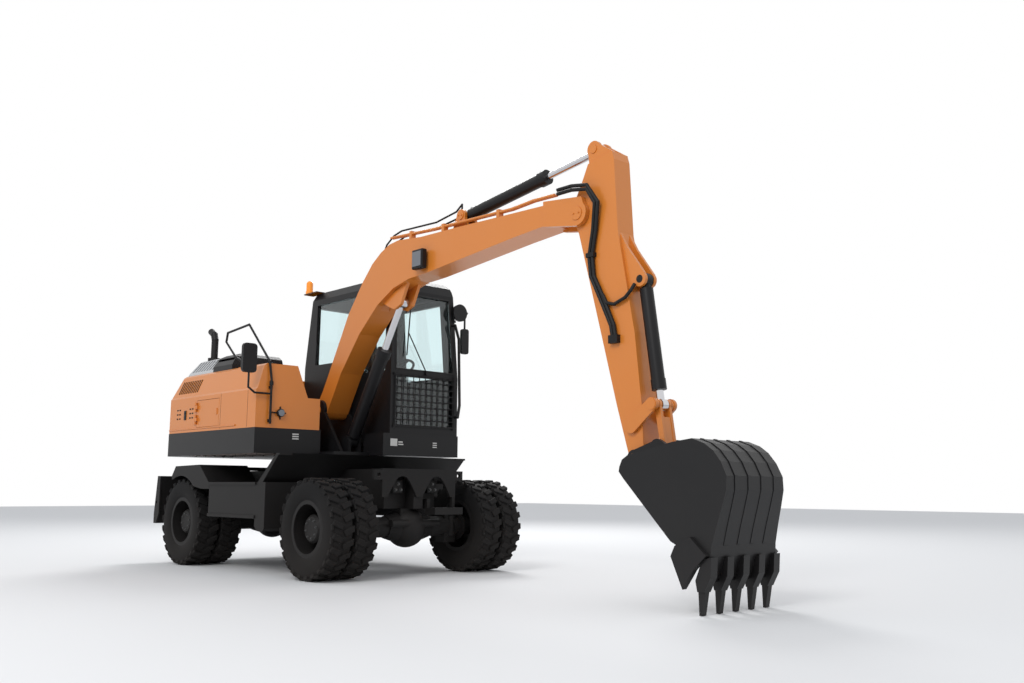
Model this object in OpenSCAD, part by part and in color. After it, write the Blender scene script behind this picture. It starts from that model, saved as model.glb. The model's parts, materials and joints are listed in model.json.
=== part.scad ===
// Wheeled excavator: a carrier on four twin-tyred wheels, with a slewing upper
// structure, cab, gooseneck boom, arm and bucket, parked with its teeth on the ground.
// Frame: X forward, Y to the machine's left, Z up, millimetres.
// The origin is on the ground, under the middle of the parked machine's outline.
// Side profiles are drawn as X and Z measured from the swing axis.

/* [Wheels] */
// Outer diameter of a tyre
tyre_d = 1000; // [960:5:1020]
// Width of one tyre
tyre_w = 256; // [230:2:262]
// Gap between the two tyres of a pair
tyre_gap = 28; // [20:2:40]
// Bead seat diameter of a rim
rim_d = 524; // [500:2:540]
// Distance between the middles of the left and right pairs
track = 1900; // [1890:5:1940]
// Distance between the axles
wheelbase = 2750; // [2700:10:2800]
// Front axle ahead of the swing axis
front_axle_x = 1350; // [1330:5:1380]

/* [Axles] */
// Diameter of the axle tubes
axle_d = 210; // [180:5:230]
// Diameter of the differential housing
diff_d = 430; // [400:5:440]
// Diameter of a hub's journal
journal_d = 140; // [120:2:150]
// Diameter of a king pin
kingpin_d = 70; // [60:2:76]
// Distance of a king pin from the middle plane
kingpin_y = 600; // [590:2:604]

/* [Carrier] */
// Height of the chassis beam's underside
chassis_low = 690; // [680:5:720]
// Height of the chassis beam's top
chassis_top = 1100; // [1080:5:1110]
// Width of the chassis beam
chassis_w = 660; // [600:10:680]
// Outer width over fenders and side boxes
carrier_w = 2480; // [2470:5:2520]
// Thickness of the fender plates
fender_t = 20; // [12:1:24]
// Height of the front fenders' top
fender_top = 1250; // [1240:1:1255]
// Diameter of the slew bearing
slew_d = 1120; // [1060:10:1140]

// Bore of the lashing eyes
lug_bore = 44; // [36:2:48]

/* [Blade] */
// Width of the dozer blade
blade_w = 2440; // [2300:10:2480]
// Height of the dozer blade
blade_h = 570; // [520:10:600]
// Length of the blade's arms between pins
blade_arm = 437; // [432:1:442]

/* [Upper structure] */
// Underside of the slewing deck
deck_low = 1265; // [1262:1:1275]
// Top of the deck's skirt
skirt_top = 1540; // [1530:2:1550]
// Half width of the upper structure on the right
upper_right = 1200; // [1180:5:1210]
// Half width of the upper structure on the left
upper_left = 1180; // [1160:5:1200]
// Front face of the right-hand tank housing
tank_front = 240; // [200:5:260]
// Rear face of the hood
hood_rear = -1870; // [-1900:5:-1860]
// Height of the hood's roof
hood_top = 2240; // [2200:5:2260]
// Thickness of hood panels and doors
panel_t = 30; // [20:1:36]

/* [Cab] */
// How far the mirrors stand out beyond the upper structure's right side
mirror_out = 200; // [195:1:205]
// Height of the cab's roof
cab_top = 3350; // [3340:5:3360]
// Front face of the cab
cab_front = 760; // [740:5:770]
// Rear face of the cab below the windows
cab_rear = -1090; // [-1100:5:-1080]
// Right wall of the cab
cab_right = 195; // [192:1:210]
// Wall thickness of the cab
cab_wall = 55; // [45:1:60]
// Thickness of the window glass
glass_t = 6; // [5:1:8]

/* [Working arm] */
// Width of the boom box
boom_w = 290; // [286:1:294]
// Width of the arm box
arm_w = 210; // [206:1:212]
// Diameter of the boom foot pin
foot_pin_d = 90; // [80:2:96]
// Diameter of the other main pins
pin_d = 70; // [60:2:76]
// Barrel diameter of the boom cylinder
boom_barrel_d = 145; // [135:1:150]
// Rod diameter of the boom cylinder
boom_rod_d = 75; // [65:1:80]
// Barrel diameter of the arm cylinder
arm_barrel_d = 125; // [115:1:130]
// Rod diameter of the arm and bucket cylinders
arm_rod_d = 65; // [55:1:70]
// Barrel diameter of the bucket cylinder
bucket_barrel_d = 116; // [106:1:118]
// Diameter of the pin between the guide links and the bucket link
link_pin_d = 60; // [50:2:64]
// Outer width of the bucket at its mouth
bucket_w = 890; // [850:5:920]
// Thickness of the bucket's shell and sides
bucket_t = 22; // [18:1:26]

/* [Fits] */
// Radial clearance of a pin or journal in its bore
pin_gap = 0.06; // [0.03:0.01:0.09]
// Clearance between faces that slide past each other
side_gap = 5; // [5:1:8]
// Clearance of a piece that rests in its seat
seat_gap = 0.3; // [0.2:0.05:0.4]
// Diameter of a door hinge's barrel
hinge_d = 26; // [22:1:30]

/* [Hidden] */
$fn = 48;

orange = [0.86, 0.50, 0.20];
black = [0.10, 0.10, 0.11];
steel = [0.75, 0.76, 0.78];
rubber = [0.07, 0.07, 0.07];
silver = [0.62, 0.63, 0.64];
tint = [0.45, 0.62, 0.60, 0.4];

// Swing axis along X, so that the parked outline is centred on the origin
swing_x = -1764;
wheel_r = tyre_d / 2;
rear_axle_x = front_axle_x - wheelbase;
pair_y = track / 2;
pair_half = tyre_w + tyre_gap / 2;
carrier_half = carrier_w / 2;
mirror_reach = upper_right + mirror_out;
tower_low = chassis_top - 330;

// Pins of the working arm, as X and Z
foot_pin = [-120, 1800];
boom_base_pin = [300, 1420];
boom_eye = [1199, 2932];
tip_pin = [3985, 3345];
arm_base_pin = [2286, 3680];
arm_eye = [4128, 3925];
bucket_base_pin = [4632, 2660];
guide_pin = [4570, 1420];
link_pin = [4785, 1590];
bucket_pin = [4610, 1150];
ear_pin = [4845, 1240];

// Lashing eyes in the front plate's ears, as Y and Z
front_lug = [525, 1035];

// Pins of the blade's linkage, as X and Z, with the blade raised
blade_low_pin = [rear_axle_x - 200, 510];
blade_high_pin = [rear_axle_x - 200, 750];
blade_angle = 35;
blade_reach = blade_arm * [-cos(blade_angle), sin(blade_angle)];
blade_pin = blade_low_pin + blade_reach;
blade_top_pin = blade_high_pin + blade_reach;
blade_base_pin = [rear_axle_x - 190, 1050];
blade_eye = blade_low_pin + 0.45 * blade_reach;
blade_tie = blade_low_pin + 0.72 * blade_reach;

function gap_len(p, q) = norm(q - p);
function along(p, q, d) = p + d * (q - p) / norm(q - p);

// Everything stands on the swing axis
module site() translate([swing_x, 0, 0]) children();

// A profile in X and Z, from y0 to y1
module slab(y0, y1) translate([0, y1, 0]) rotate([90, 0, 0]) linear_extrude(y1 - y0) children();

// The same profile on the left and on the right
module slabs(y0, y1) {
    slab(y0, y1) children();
    slab(-y1, -y0) children();
}

// A profile in Y and Z, from x0 to x1
module plate_x(x0, x1) translate([x0, 0, 0]) rotate([90, 0, 90]) linear_extrude(x1 - x0) children();

// A block between two corners
module block(a, b) translate(a) cube(b - a);

// A cylinder across the machine at a pin, from y0 to y1
module cross(p, d, y0, y1) translate([p[0], y1, p[1]]) rotate([90, 0, 0]) cylinder(h = y1 - y0, d = d);

// A cylinder in the middle plane from p towards q, between two distances from p
module strut(p, q, d, s0, s1) {
    v = q - p;
    translate([p[0], 0, p[1]]) rotate([0, atan2(v[0], v[1]), 0]) translate([0, 0, s0])
        cylinder(h = s1 - s0, d = d);
}

// A round tube through a list of points, with swaged bends a little thicker than the tube
module tube(points, d, sides = 24) {
    last = len(points) - 1;
    for (i = [0 : last - 1]) {
        v = points[i + 1] - points[i];
        translate(points[i]) rotate([0, acos(v[2] / norm(v)), atan2(v[1], v[0])])
            cylinder(h = norm(v), d = d, $fn = sides);
    }
    for (i = [1 : last - 1]) {
        w = points[i + 1] - points[i - 1];
        translate(points[i]) rotate([0, 0, atan2(w[1], w[0]) + 90]) sphere(d = d * 1.04, $fn = sides);
    }
}

// Hinge on a fixed wall: two eyes, their leaves towards side, and the pin
module hinge_fixed(place, root, side) translate(place) {
    for (z = [0, 80]) translate([0, 0, z]) {
        cylinder(h = 30, d = hinge_d);
        block([min(0, side * 44), min(0, root), 0], [max(0, side * 44), max(0, root), 30]);
    }
    cylinder(h = 110, d = hinge_d / 2);
}

// The eye between them, on the door
module hinge_moving(place, root, side) translate(place) difference() {
    union() {
        translate([0, 0, 30 + side_gap]) cylinder(h = 50 - 2 * side_gap, d = hinge_d);
        // Leaf outside the walls, and its foot in the door
        block([min(0, side * 44), 4 - hinge_d / 2, 30 + side_gap], [max(0, side * 44), hinge_d / 2 - 4, 80 - side_gap]);
        block([min(side * 21, side * 44), min(0, root), 31 + side_gap], [max(side * 21, side * 44), max(0, root), 79 - side_gap]);
    }
    cylinder(h = 110, d = hinge_d / 2 + 2 * pin_gap);
}

// Side by side, at plus and minus y
module pair(y) for (s = [-1, 1]) translate([0, s * y, 0]) children();

// A lever's outline: round ends at p and q
module lever(p, q, dp, dq) hull() {
    translate(p) circle(d = dp, $fn = 32);
    translate(q) circle(d = dq, $fn = 32);
}

module axle_spot(x) translate([x, 0, wheel_r]) children();

module chassis() color(black) site() difference() {
    union() {
        block([rear_axle_x - 110, -chassis_w / 2, chassis_low], [front_axle_x + 60, chassis_w / 2, chassis_top]);
        translate([0, 0, tower_low]) cylinder(h = 380, d = slew_d + 20, $fn = 96);
        block([front_axle_x - 60, -400, chassis_top - 25], [front_axle_x + 225, 400, chassis_top]);
        // Front plate with two flared arches, and its lashing eyes
        plate_x(front_axle_x + 200, front_axle_x + 235) {
            difference() {
                translate([-480, 810]) square([960, chassis_top - 810]);
                for (s = [-1, 1]) translate([s * 225, 0]) polygon([[-190, 800], [-160, 860], [-118, 930],
                    [-88, 975], [-50, 1012], [0, 1026], [50, 1012], [88, 975], [118, 930], [160, 860], [190, 800]]);
            }
            for (s = [-1, 1]) translate([s * front_lug[0] - 55, front_lug[1] - 50]) square([110, 100]);
        }
        // Middle rib behind the front plate
        block([front_axle_x + 60, -60, chassis_low], [front_axle_x + 210, 60, chassis_top - 25]);
        // Step on the left, under the front plate
        block([front_axle_x + 200, 100, chassis_low - 60], [front_axle_x + 370, 475, chassis_low + 10]);
        block([front_axle_x + 50, 100, chassis_low], [front_axle_x + 235, 140, chassis_low + 100]);
        block([front_axle_x + 200, 435, chassis_low - 50], [front_axle_x + 235, 475, 830]);
        // Rear plate and the blade's pivots
        block([rear_axle_x - 140, -450, chassis_low], [rear_axle_x - 110, 450, chassis_top]);
        for (y = [290, 405]) slabs(y, y + 35) {
            polygon([[rear_axle_x - 120, 850], [rear_axle_x - 120, 472], [blade_low_pin[0], 472], [blade_low_pin[0], 786]]);
            for (p = [blade_low_pin, blade_high_pin]) translate(p) circle(d = 100);
        }
        for (y = [140, 225]) slabs(y, y + 25) {
            polygon([[rear_axle_x - 120, 960], [blade_base_pin[0], 1015], [blade_base_pin[0], 1084], [rear_axle_x - 120, 1084]]);
            translate(blade_base_pin) circle(d = 90);
        }
    }
    for (p = [blade_low_pin, blade_high_pin]) cross(p, 50, -450, 450);
    cross(blade_base_pin, 50, -260, 260);
    for (s = [-1, 1]) translate([front_axle_x, s * front_lug[0], front_lug[1]]) rotate([0, 90, 0])
        cylinder(h = 300, d = lug_bore);
}

module slew_bearing() color(black) site() difference() {
    translate([0, 0, chassis_top + 50]) cylinder(h = fender_top - chassis_top - 50, d = slew_d, $fn = 96);
    translate([0, 0, chassis_top + 40]) cylinder(h = 200, d = 840, $fn = 96);
}

// Axle housing with its differential, and its middle at the axle's height
module axle_housing(half) {
    rotate([90, 0, 0]) cylinder(h = 2 * half, d = axle_d, center = true);
    for (s = [-1, 1]) rotate([-90 * s, 0, 0]) translate([0, 0, 60])
        cylinder(h = 215, d1 = 2 * (chassis_low - wheel_r) - 20, d2 = axle_d + 24);
    difference() {
        sphere(d = diff_d, $fn = 64);
        block([-diff_d, -diff_d, chassis_low - wheel_r - seat_gap], [diff_d, diff_d, diff_d]);
    }
}

module front_axle() color(black) site() axle_spot(front_axle_x) difference() {
    union() {
        axle_housing(kingpin_y - 78);
        block([-110, -150, 60], [110, 150, chassis_low - wheel_r - seat_gap]);
        translate([-300, 0, 0]) rotate([0, 90, 0]) cylinder(h = 150, d = 160);
        for (s = [-1, 1]) {
            block([-75, s > 0 ? kingpin_y - 130 : -kingpin_y + 77, -175], [75, s > 0 ? kingpin_y - 77 : -kingpin_y + 130, 175]);
            for (z = [-175, 115]) hull() {
                translate([0, s * kingpin_y, z]) cylinder(h = 60, d = 130, $fn = 32);
                block([-70, s > 0 ? kingpin_y - 110 : -kingpin_y + 90, z], [70, s > 0 ? kingpin_y - 90 : -kingpin_y + 110, z + 60]);
            }
        }
        // Steering cylinder along the housing
        translate([160, 0, 40]) rotate([90, 0, 0]) cylinder(h = 620, d = 80, center = true);
        pair(200) block([0, -25, 0], [160, 25, 80]);
    }
    pair(kingpin_y) translate([0, 0, -200]) cylinder(h = 400, d = kingpin_d + 2 * pin_gap);
}

module rear_axle() color(black) site() axle_spot(rear_axle_x) {
    axle_housing(pair_y - 65);
    rotate([90, 0, 0]) cylinder(h = 2 * (pair_y + 55), d = journal_d, center = true);
    pair(pair_y - 290) rotate([90, 0, 0]) cylinder(h = 30, d = 300, center = true);
    pair(240) block([-100, -50, 0], [100, 50, chassis_low - wheel_r - seat_gap]);
    translate([150, 0, 0]) rotate([0, 90, 0]) cylinder(h = 150, d = 160);
}

module driveline() color(black) site() {
    // Transfer gearbox under the chassis
    slab(-170, 170) polygon([[-330, chassis_low], [-330, 470], [-240, 390], [60, 390], [150, 470], [150, chassis_low]]);
    for (x = [-330, 150]) for (d = [-1, 1]) if (x * d > 0) translate([x, 0, wheel_r]) rotate([0, d * 90, 0])
        cylinder(h = 40, d = 160);
    front_end = front_axle_x - 300;
    rear_end = rear_axle_x + 300;
    translate([190, 0, wheel_r]) rotate([0, 90, 0]) cylinder(h = front_end - 190, d = 90);
    translate([rear_end, 0, wheel_r]) rotate([0, 90, 0]) cylinder(h = -370 - rear_end, d = 90);
    translate([front_end - 25, 0, wheel_r]) rotate([0, 90, 0]) cylinder(h = 25, d = 150);
    translate([rear_end, 0, wheel_r]) rotate([0, 90, 0]) cylinder(h = 25, d = 150);
}

// Knuckle of a front wheel, with s as 1 on the left and -1 on the right
module knuckle(s) color(black) site() translate([front_axle_x, s * kingpin_y, wheel_r]) {
    translate([0, 0, -110]) cylinder(h = 220, d = 140);
    translate([0, 0, -172]) cylinder(h = 344, d = kingpin_d);
    rotate([-90 * s, 0, 0]) {
        cylinder(h = pair_y - kingpin_y - 65, d = 190);
        translate([0, 0, 72]) cylinder(h = 28, d = 300);
        cylinder(h = pair_y - kingpin_y + 55, d = journal_d);
    }
}
module knuckle_left() knuckle(1);
module knuckle_right() knuckle(-1);

// A wheel's place: outward is local Z
module wheel_spot(x, s) site() translate([x, s * pair_y, wheel_r]) rotate([-90 * s, 0, 0]) children();

module rims(x, s) color(black) wheel_spot(x, s) {
    bead = rim_d / 2 - seat_gap;
    tyre_side = pair_half - tyre_w / 2 + 96;
    rotate_extrude($fn = 96) polygon([[0, 62], [0, 200], [118, 200], [140, 178], [140, 12], [bead - 22, 12],
        [bead - 22, tyre_side + 13], [bead + 22, tyre_side + 13], [bead + 22, tyre_side + seat_gap],
        [bead, tyre_side + seat_gap], [bead, -tyre_side - seat_gap], [bead + 22, -tyre_side - seat_gap],
        [bead + 22, -tyre_side - 13], [bead - 22, -tyre_side - 13], [bead - 22, -12], [150, -12], [150, -60],
        [journal_d / 2 + pin_gap, -60], [journal_d / 2 + pin_gap, 62]]);
}

module tyres(x, s) color(rubber) wheel_spot(x, s) for (k = [-1, 1])
    translate([0, 0, k * (tyre_w + tyre_gap) / 2]) rotate_extrude($fn = 96) polygon([
        [rim_d / 2, -96], [rim_d / 2 + 26, -96], [318, -118], [385, -tyre_w / 2], [455, -tyre_w / 2 + 5], [wheel_r, -tyre_w / 2 + 26],
        [wheel_r, tyre_w / 2 - 26], [455, tyre_w / 2 - 5], [385, tyre_w / 2], [318, 118], [rim_d / 2 + 26, 96],
        [rim_d / 2, 96]]);

module rims_front_left() rims(front_axle_x, 1);
module tyres_front_left() tyres(front_axle_x, 1);
module rims_front_right() rims(front_axle_x, -1);
module tyres_front_right() tyres(front_axle_x, -1);
module rims_rear_left() rims(rear_axle_x, 1);
module tyres_rear_left() tyres(rear_axle_x, 1);
module rims_rear_right() rims(rear_axle_x, -1);
module tyres_rear_right() tyres(rear_axle_x, -1);

module fenders() color(black) site() {
    inner = 640;
    // Front: a wall across the machine that leans forward, with a flange at each end
    back = front_axle_x - 500;
    foot = 955 + seat_gap;
    slabs(chassis_w / 2 + seat_gap, carrier_half) polygon([[back, fender_top], [back - 24, fender_top], [back - 345, 962],
        [back - 345, foot], [back - 318, foot]]);
    slab(-chassis_w / 2 - 10, chassis_w / 2 + 10) polygon([[back, fender_top], [back - 24, fender_top],
        [back - 186, chassis_top + seat_gap], [back - 162, chassis_top + seat_gap]]);
    slabs(carrier_half - 15, carrier_half) polygon([[back, fender_top], [back - 60, fender_top], [back - 420, foot],
        [back - 318, foot]]);
    slabs(carrier_half - 150, carrier_half) translate([back - 60, fender_top - fender_t]) square([60, fender_t]);
    // Rear: arched roof and side skirt
    difference() {
        translate([rear_axle_x, 0, 0]) slabs(inner, carrier_half) polygon([[-240, 990], [-240, 1030], [-147, 1143],
            [472, 1154], [734, 942], [734, 880], [550, 880]]);
        translate([rear_axle_x, 0, 0]) slabs(inner - 10, carrier_half - 15) polygon([[-300, 900], [-220, 1020],
            [-137, 1123], [465, 1134], [710, 935], [710, 800]]);
        translate([rear_axle_x, 0, wheel_r]) rotate([90, 0, 0]) cylinder(h = 3000, r = wheel_r + 30, center = true, $fn = 96);
    }
    slabs(200, inner + 10) translate([rear_axle_x + 150, chassis_top + seat_gap]) square([110, 40]);
}

module side_boxes() color(black) site() {
    rear = rear_axle_x + 740;
    front = front_axle_x - 955;
    for (s = [-1, 1]) {
        far = s * carrier_half;
        near = s * 700;
        block([rear, min(near, far), 575], [front, max(near, far), 955]);
        // Step lips
        block([rear, min(far, far + s * 12), 580], [front, max(far, far + s * 12), 610]);
        block([rear, min(far, far + s * 12), 925], [front, max(far, far + s * 12), 955]);
    }
    // Tool box behind the front wheel
    slabs(700, carrier_half) translate([front, 0]) polygon([[-5, 500], [45, 455], [165, 450], [195, 480], [195, 955], [-5, 955]]);
    for (x = [-480, 200]) slabs(chassis_w / 2 + seat_gap, 710) translate([x, tower_low - 60]) square([90, 60 - seat_gap]);
}

module blade_arms() color(black) site() {
    slabs(325 + side_gap, 405 - side_gap) difference() {
        lever(blade_low_pin, blade_pin, 100, 100);
        translate(blade_pin) circle(d = 50 + 2 * pin_gap, $fn = 48);
    }
    // Pins in the chassis ears
    slabs(290, 440) translate(blade_low_pin) circle(d = 50 - 2 * pin_gap, $fn = 48);
    // Cross tube, with the ears of the cylinders' rods
    cross(blade_tie, 60, -340, 340);
    for (y = [130, 220]) slabs(y, y + 30) lever(blade_tie, blade_eye, 60, 90);
}

module blade_links() color(black) site() {
    slabs(325 + side_gap, 405 - side_gap) difference() {
        lever(blade_high_pin, blade_top_pin, 84, 84);
        translate(blade_top_pin) circle(d = 50 + 2 * pin_gap, $fn = 48);
    }
    slabs(290, 440) translate(blade_high_pin) circle(d = 50 - 2 * pin_gap, $fn = 48);
}

module blade() color(black) site() {
    low = blade_pin[1] - 300;
    x = blade_pin[0];
    slab(-blade_w / 2, blade_w / 2) polygon([[x - 62, low + blade_h], [x - 40, low + blade_h], [x - 62, low + blade_h * 0.55],
        [x - 62, low + blade_h * 0.3], [x - 120, low], [x - 150, low + 5], [x - 92, low + blade_h * 0.3],
        [x - 92, low + blade_h * 0.55]]);
    slabs(blade_w / 2 - 20, blade_w / 2) difference() {
        polygon([[x - 45, low + blade_h], [x - 45, low + 120], [x - 110, low],
            [x - 178, low], [x - 178, low + 120], [x - 120, low + blade_h]]);
        translate([x - 127, low + 250]) circle(d = lug_bore, $fn = 48);
    }
    // Ears of the arms and of the links
    for (y = [290, 405]) slabs(y, y + 35) difference() {
        union() {
            translate([x - 70, blade_pin[1] - 50]) square([70, 290]);
            translate(blade_pin) circle(d = 100, $fn = 48);
            translate(blade_top_pin) circle(d = 90, $fn = 48);
        }
    }
    slabs(290, 440) {
        translate(blade_pin) circle(d = 50, $fn = 48);
        translate(blade_top_pin) circle(d = 50, $fn = 48);
    }
}

module blade_barrels() color(black) site() pair(190) {
    full = gap_len(blade_base_pin, blade_eye);
    difference() {
        union() {
            cross(blade_base_pin, 76, -20, 20);
            strut(blade_base_pin, blade_eye, 38, 10, 90);
            strut(blade_base_pin, blade_eye, 84, 80, full - 50);
        }
        strut(blade_base_pin, blade_eye, 44 + 2 * pin_gap, 88, full);
    }
    cross(blade_base_pin, 50 - 2 * pin_gap, -60, 60);
}

module blade_rods() color(steel) site() pair(190) {
    full = gap_len(blade_base_pin, blade_eye);
    strut(blade_base_pin, blade_eye, 44, 96, full - 20);
    cross(blade_eye, 72, -20, 20);
    cross(blade_eye, 46, -26, 26);
}

module deck() color(black) site() difference() {
    union() {
        // Slewing spigot in the bearing
        translate([0, 0, chassis_top + 60]) cylinder(h = deck_low - chassis_top - 50, d = 840 - 2 * pin_gap, $fn = 96);
        block([-1450, -upper_right, deck_low], [tank_front, upper_left, deck_low + 35]);
        block([tank_front - 10, -380, deck_low], [520, 105, deck_low + 35]);
        block([tank_front - 10, 95, deck_low], [cab_front + 20, upper_left, deck_low + 35]);
        // Closed housings under the tank, the hood and the cab
        block([-1450, -upper_right, deck_low], [tank_front, -380, skirt_top]);
        block([-1450, 400, deck_low], [cab_rear - 15, upper_left, skirt_top]);
        block([cab_rear - 15, cab_right + 10, deck_low], [cab_front + 20, upper_left, skirt_top - 25]);
        block([400, 95, deck_low], [cab_front + 20, cab_right + 20, skirt_top - 25]);
        // Brackets of the boom foot
        slabs(boom_w / 2 + side_gap, boom_w / 2 + side_gap + 38) {
            polygon([[-460, deck_low + 20], [380, deck_low + 20], [foot_pin[0] + 110, foot_pin[1] - 30],
                [foot_pin[0] - 110, foot_pin[1] - 30]]);
            translate(foot_pin) circle(d = 230);
        }
        // Ears of the boom cylinder
        slabs(50, 85) {
            polygon([[150, deck_low + 20], [368, deck_low + 20], [368, boom_base_pin[1]], [232, boom_base_pin[1]]]);
            translate(boom_base_pin) circle(d = 136);
        }
    }
    cross(foot_pin, foot_pin_d, -300, 300);
    cross(boom_base_pin, pin_d, -92, 92);
}

module counterweight() color(black) site() translate([0, 0, deck_low]) linear_extrude(skirt_top - deck_low)
    polygon([[-1450, -upper_right], [hood_rear - 10, -upper_right], [hood_rear - 60, -1120], [hood_rear - 90, -960],
        [hood_rear - 100, 0], [hood_rear - 90, 940], [hood_rear - 60, 1100], [hood_rear - 10, upper_left], [-1450, upper_left]]);

// Section of the right-hand housings in Y and Z
module hood_section(inset) {
    polygon([[-upper_right + inset, skirt_top], [-upper_right + inset, 1950], [-upper_right + 18 + inset, 1972],
        [-1112 + inset, hood_top - 25], [-1080 + inset, hood_top - inset], [-700 - inset, hood_top - inset],
        [-560 - inset, 1890 - inset], [-400 - inset, 1890 - inset], [-400 - inset, skirt_top]]);
}

// Hinges of the engine lid, along its front edge
module lid_hinges() for (y = [-1000, -830]) translate([-556, y, hood_top + hinge_d / 2 + 3]) rotate([-90, 0, 0]) children();

module tank_housing() color(orange) site() {
    plate_x(-560, tank_front) hood_section(0);
    lid_hinges() hinge_fixed([0, 0, 0], hinge_d / 2 + 13, 1);
}

// Engine bay behind the cab and beside the boom: roof, rear, left and front walls
bay_front = cab_rear - 15;
door_rear = -1156;

// Cross-section of the engine bay, pulled in by d
module bay_section(d) polygon([[-upper_right + d, skirt_top - d / 10], [-upper_right + d, 1950], [-upper_right + 18 + d, 1972],
    [-1112 + d, hood_top - 25 - d], [-1080 + d, hood_top - d], [1060 - d, hood_top - d], [1092 - d, hood_top - 25 - d],
    [upper_left - 18 - d, 1972], [upper_left - d, 1950], [upper_left - d, skirt_top - d / 10]]);

// Side view of the engine bay, pulled in by d
module bay_side(d) polygon([[hood_rear + d, skirt_top - d], [hood_rear + d, 1980], [hood_rear + 170 + d, hood_top + 20],
    [-500, hood_top + 20], [-500, skirt_top - d]]);

door_axis = [door_rear, -upper_right - hinge_d / 2 - 1];

module hood() color(orange) site() {
    hood_panels();
    for (z = [1625, 1770]) hinge_fixed([door_axis[0], door_axis[1], z], hinge_d / 2 + 12, -1);
}

module hood_panels() difference() {
    intersection() {
        plate_x(hood_rear, -560) bay_section(0);
        slab(-1300, 1300) bay_side(0);
        union() {
            block([-2000, -1300, 1400], [bay_front, 1300, 2400]);
            block([bay_front - 10, -1300, 1400], [-560, -400, 2400]);
        }
    }
    // Inside
    intersection() {
        plate_x(hood_rear, -560) bay_section(panel_t);
        slab(-1300, 1300) bay_side(panel_t);
        union() {
            block([-2000, -1300, 1400], [bay_front - panel_t, 1300, 2400]);
            block([bay_front - 60, -1300, 1400], [-560 - panel_t, -400 - panel_t, 2400]);
        }
    }
    // Door opening in the right side, lid opening in the roof
    block([door_rear, -1300, skirt_top + 45], [-600, -upper_right + panel_t + 10, 1905]);
    block([-1000, -1040, 2100], [-605, -445, 2400]);
}

module side_door() color(orange) site() {
    block([door_rear + side_gap, -upper_right, skirt_top + 45 + side_gap], [-600 - side_gap, -upper_right + panel_t, 1905 - side_gap]);
    // Latch
    block([-680, -upper_right - 8, 1720], [-640, -upper_right, 1790]);
    for (z = [1625, 1770]) hinge_moving([door_axis[0], door_axis[1], z], hinge_d / 2 + 12, 1);
}

module engine() color(silver) site() block([-1440, -340, deck_low + 35], [bay_front - 50, 360, 2050]);

module engine_lid() color(black) site() {
    difference() {
        translate([0, 0, hood_top + seat_gap]) hull() {
            block([-1035, -1078, 0], [-572, -410, 60]);
            block([-1025, -1010, 0], [-600, -420, 165]);
            block([-1015, -930, 0], [-660, -430, 205]);
        }
        block([-1000, -1040, hood_top - 10], [-605, -445, hood_top + 150]);
    }
    lid_hinges() hinge_moving([0, 0, 0], 12, -1);
}

module exhaust() color(black) site() translate([-1490, -850, hood_top + 200]) {
    tube([[0, 0, 0], [0, 0, 260], [-30, 0, 330], [-110, 0, 375]], 84);
    cylinder(h = 30, d = 150);
}

module roof_grille() color(silver) site() difference() {
    intersection() {
        plate_x(-1690, -1045) polygon([[-1078, hood_top], [-1070, hood_top + 25], [-945, hood_top + 180], [-900, hood_top + 200],
            [-450, hood_top + 200], [-412, hood_top + 170], [-412, hood_top]]);
        slab(-1300, 0) polygon([[-1690, hood_top], [-1650, hood_top + 200], [-1045, hood_top + 200], [-1045, hood_top]]);
    }
    for (i = [0 : 7]) block([-1628 + i * 72, -1100, hood_top + 38], [-1588 + i * 72, -930, hood_top + 172]);
}

module handrails() color(black) site() {
    rail = 26;
    tube([[275, -1040, 1580], [272, -1040, 2060], [258, -1062, 2258], [-129, -1120, 2703], [-631, -1120, 2663], [-657, -1120, 2560],
        [-433, -1110, 2365], [-380, -1060, 2310], [-380, -1060, hood_top + seat_gap]], rail);
    // Clamp under the bend
    translate([272.3, -1040, 1996]) cylinder(h = 44, d = 44);
    // Feet on the tank housing's front
    for (z = [1600, 1960]) block([tank_front + seat_gap, -1056, z], [275, -1024, z + 30]);
    // Mirror and its arm
    glass = mirror_reach - 83;
    tube([[273, -1040, 1905], [275, -glass + 77, 1905], [275, -glass, 1960], [275, -glass, 2130]], 22);
    plate_x(250, 292) translate([-mirror_reach, 2115]) offset(r = 40) offset(delta = -40) square([165, 315]);
}

// Side view of the cab, pulled in by d
module cab_side(d) polygon([[cab_rear + d, skirt_top - 25 + d], [cab_front - d, skirt_top - 25 + d],
    [cab_front - d, 3190], [cab_front - 35 - d, 3290 - d / 2], [cab_front - 125 - d, cab_top - d],
    [cab_rear + 150 + d, cab_top - d], [cab_rear + d, 2400]]);

// The cab's body with its leaning left wall, pulled in by d
module cab_body(d) intersection() {
    slab(cab_right + d, upper_left - d) cab_side(d);
    plate_x(cab_rear - 50, cab_front + 50) polygon([[cab_right + d, skirt_top - 30], [upper_left - d, skirt_top - 30],
        [upper_left - d, 2200], [upper_left - 95 - d, 3250], [upper_left - 150 - d, cab_top + 30],
        [cab_right + 70 + d, cab_top + 30], [cab_right + d, 3250]]);
}

module door_outline(g) polygon([[-330 + g, 1580 + g], [640 - g, 1580 + g], [640 - g, 3190 - g], [-300 + g, 3190 - g]]);
module door_window() polygon([[-240, 2230], [550, 2230], [550, 3110], [-215, 3110]]);

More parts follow.
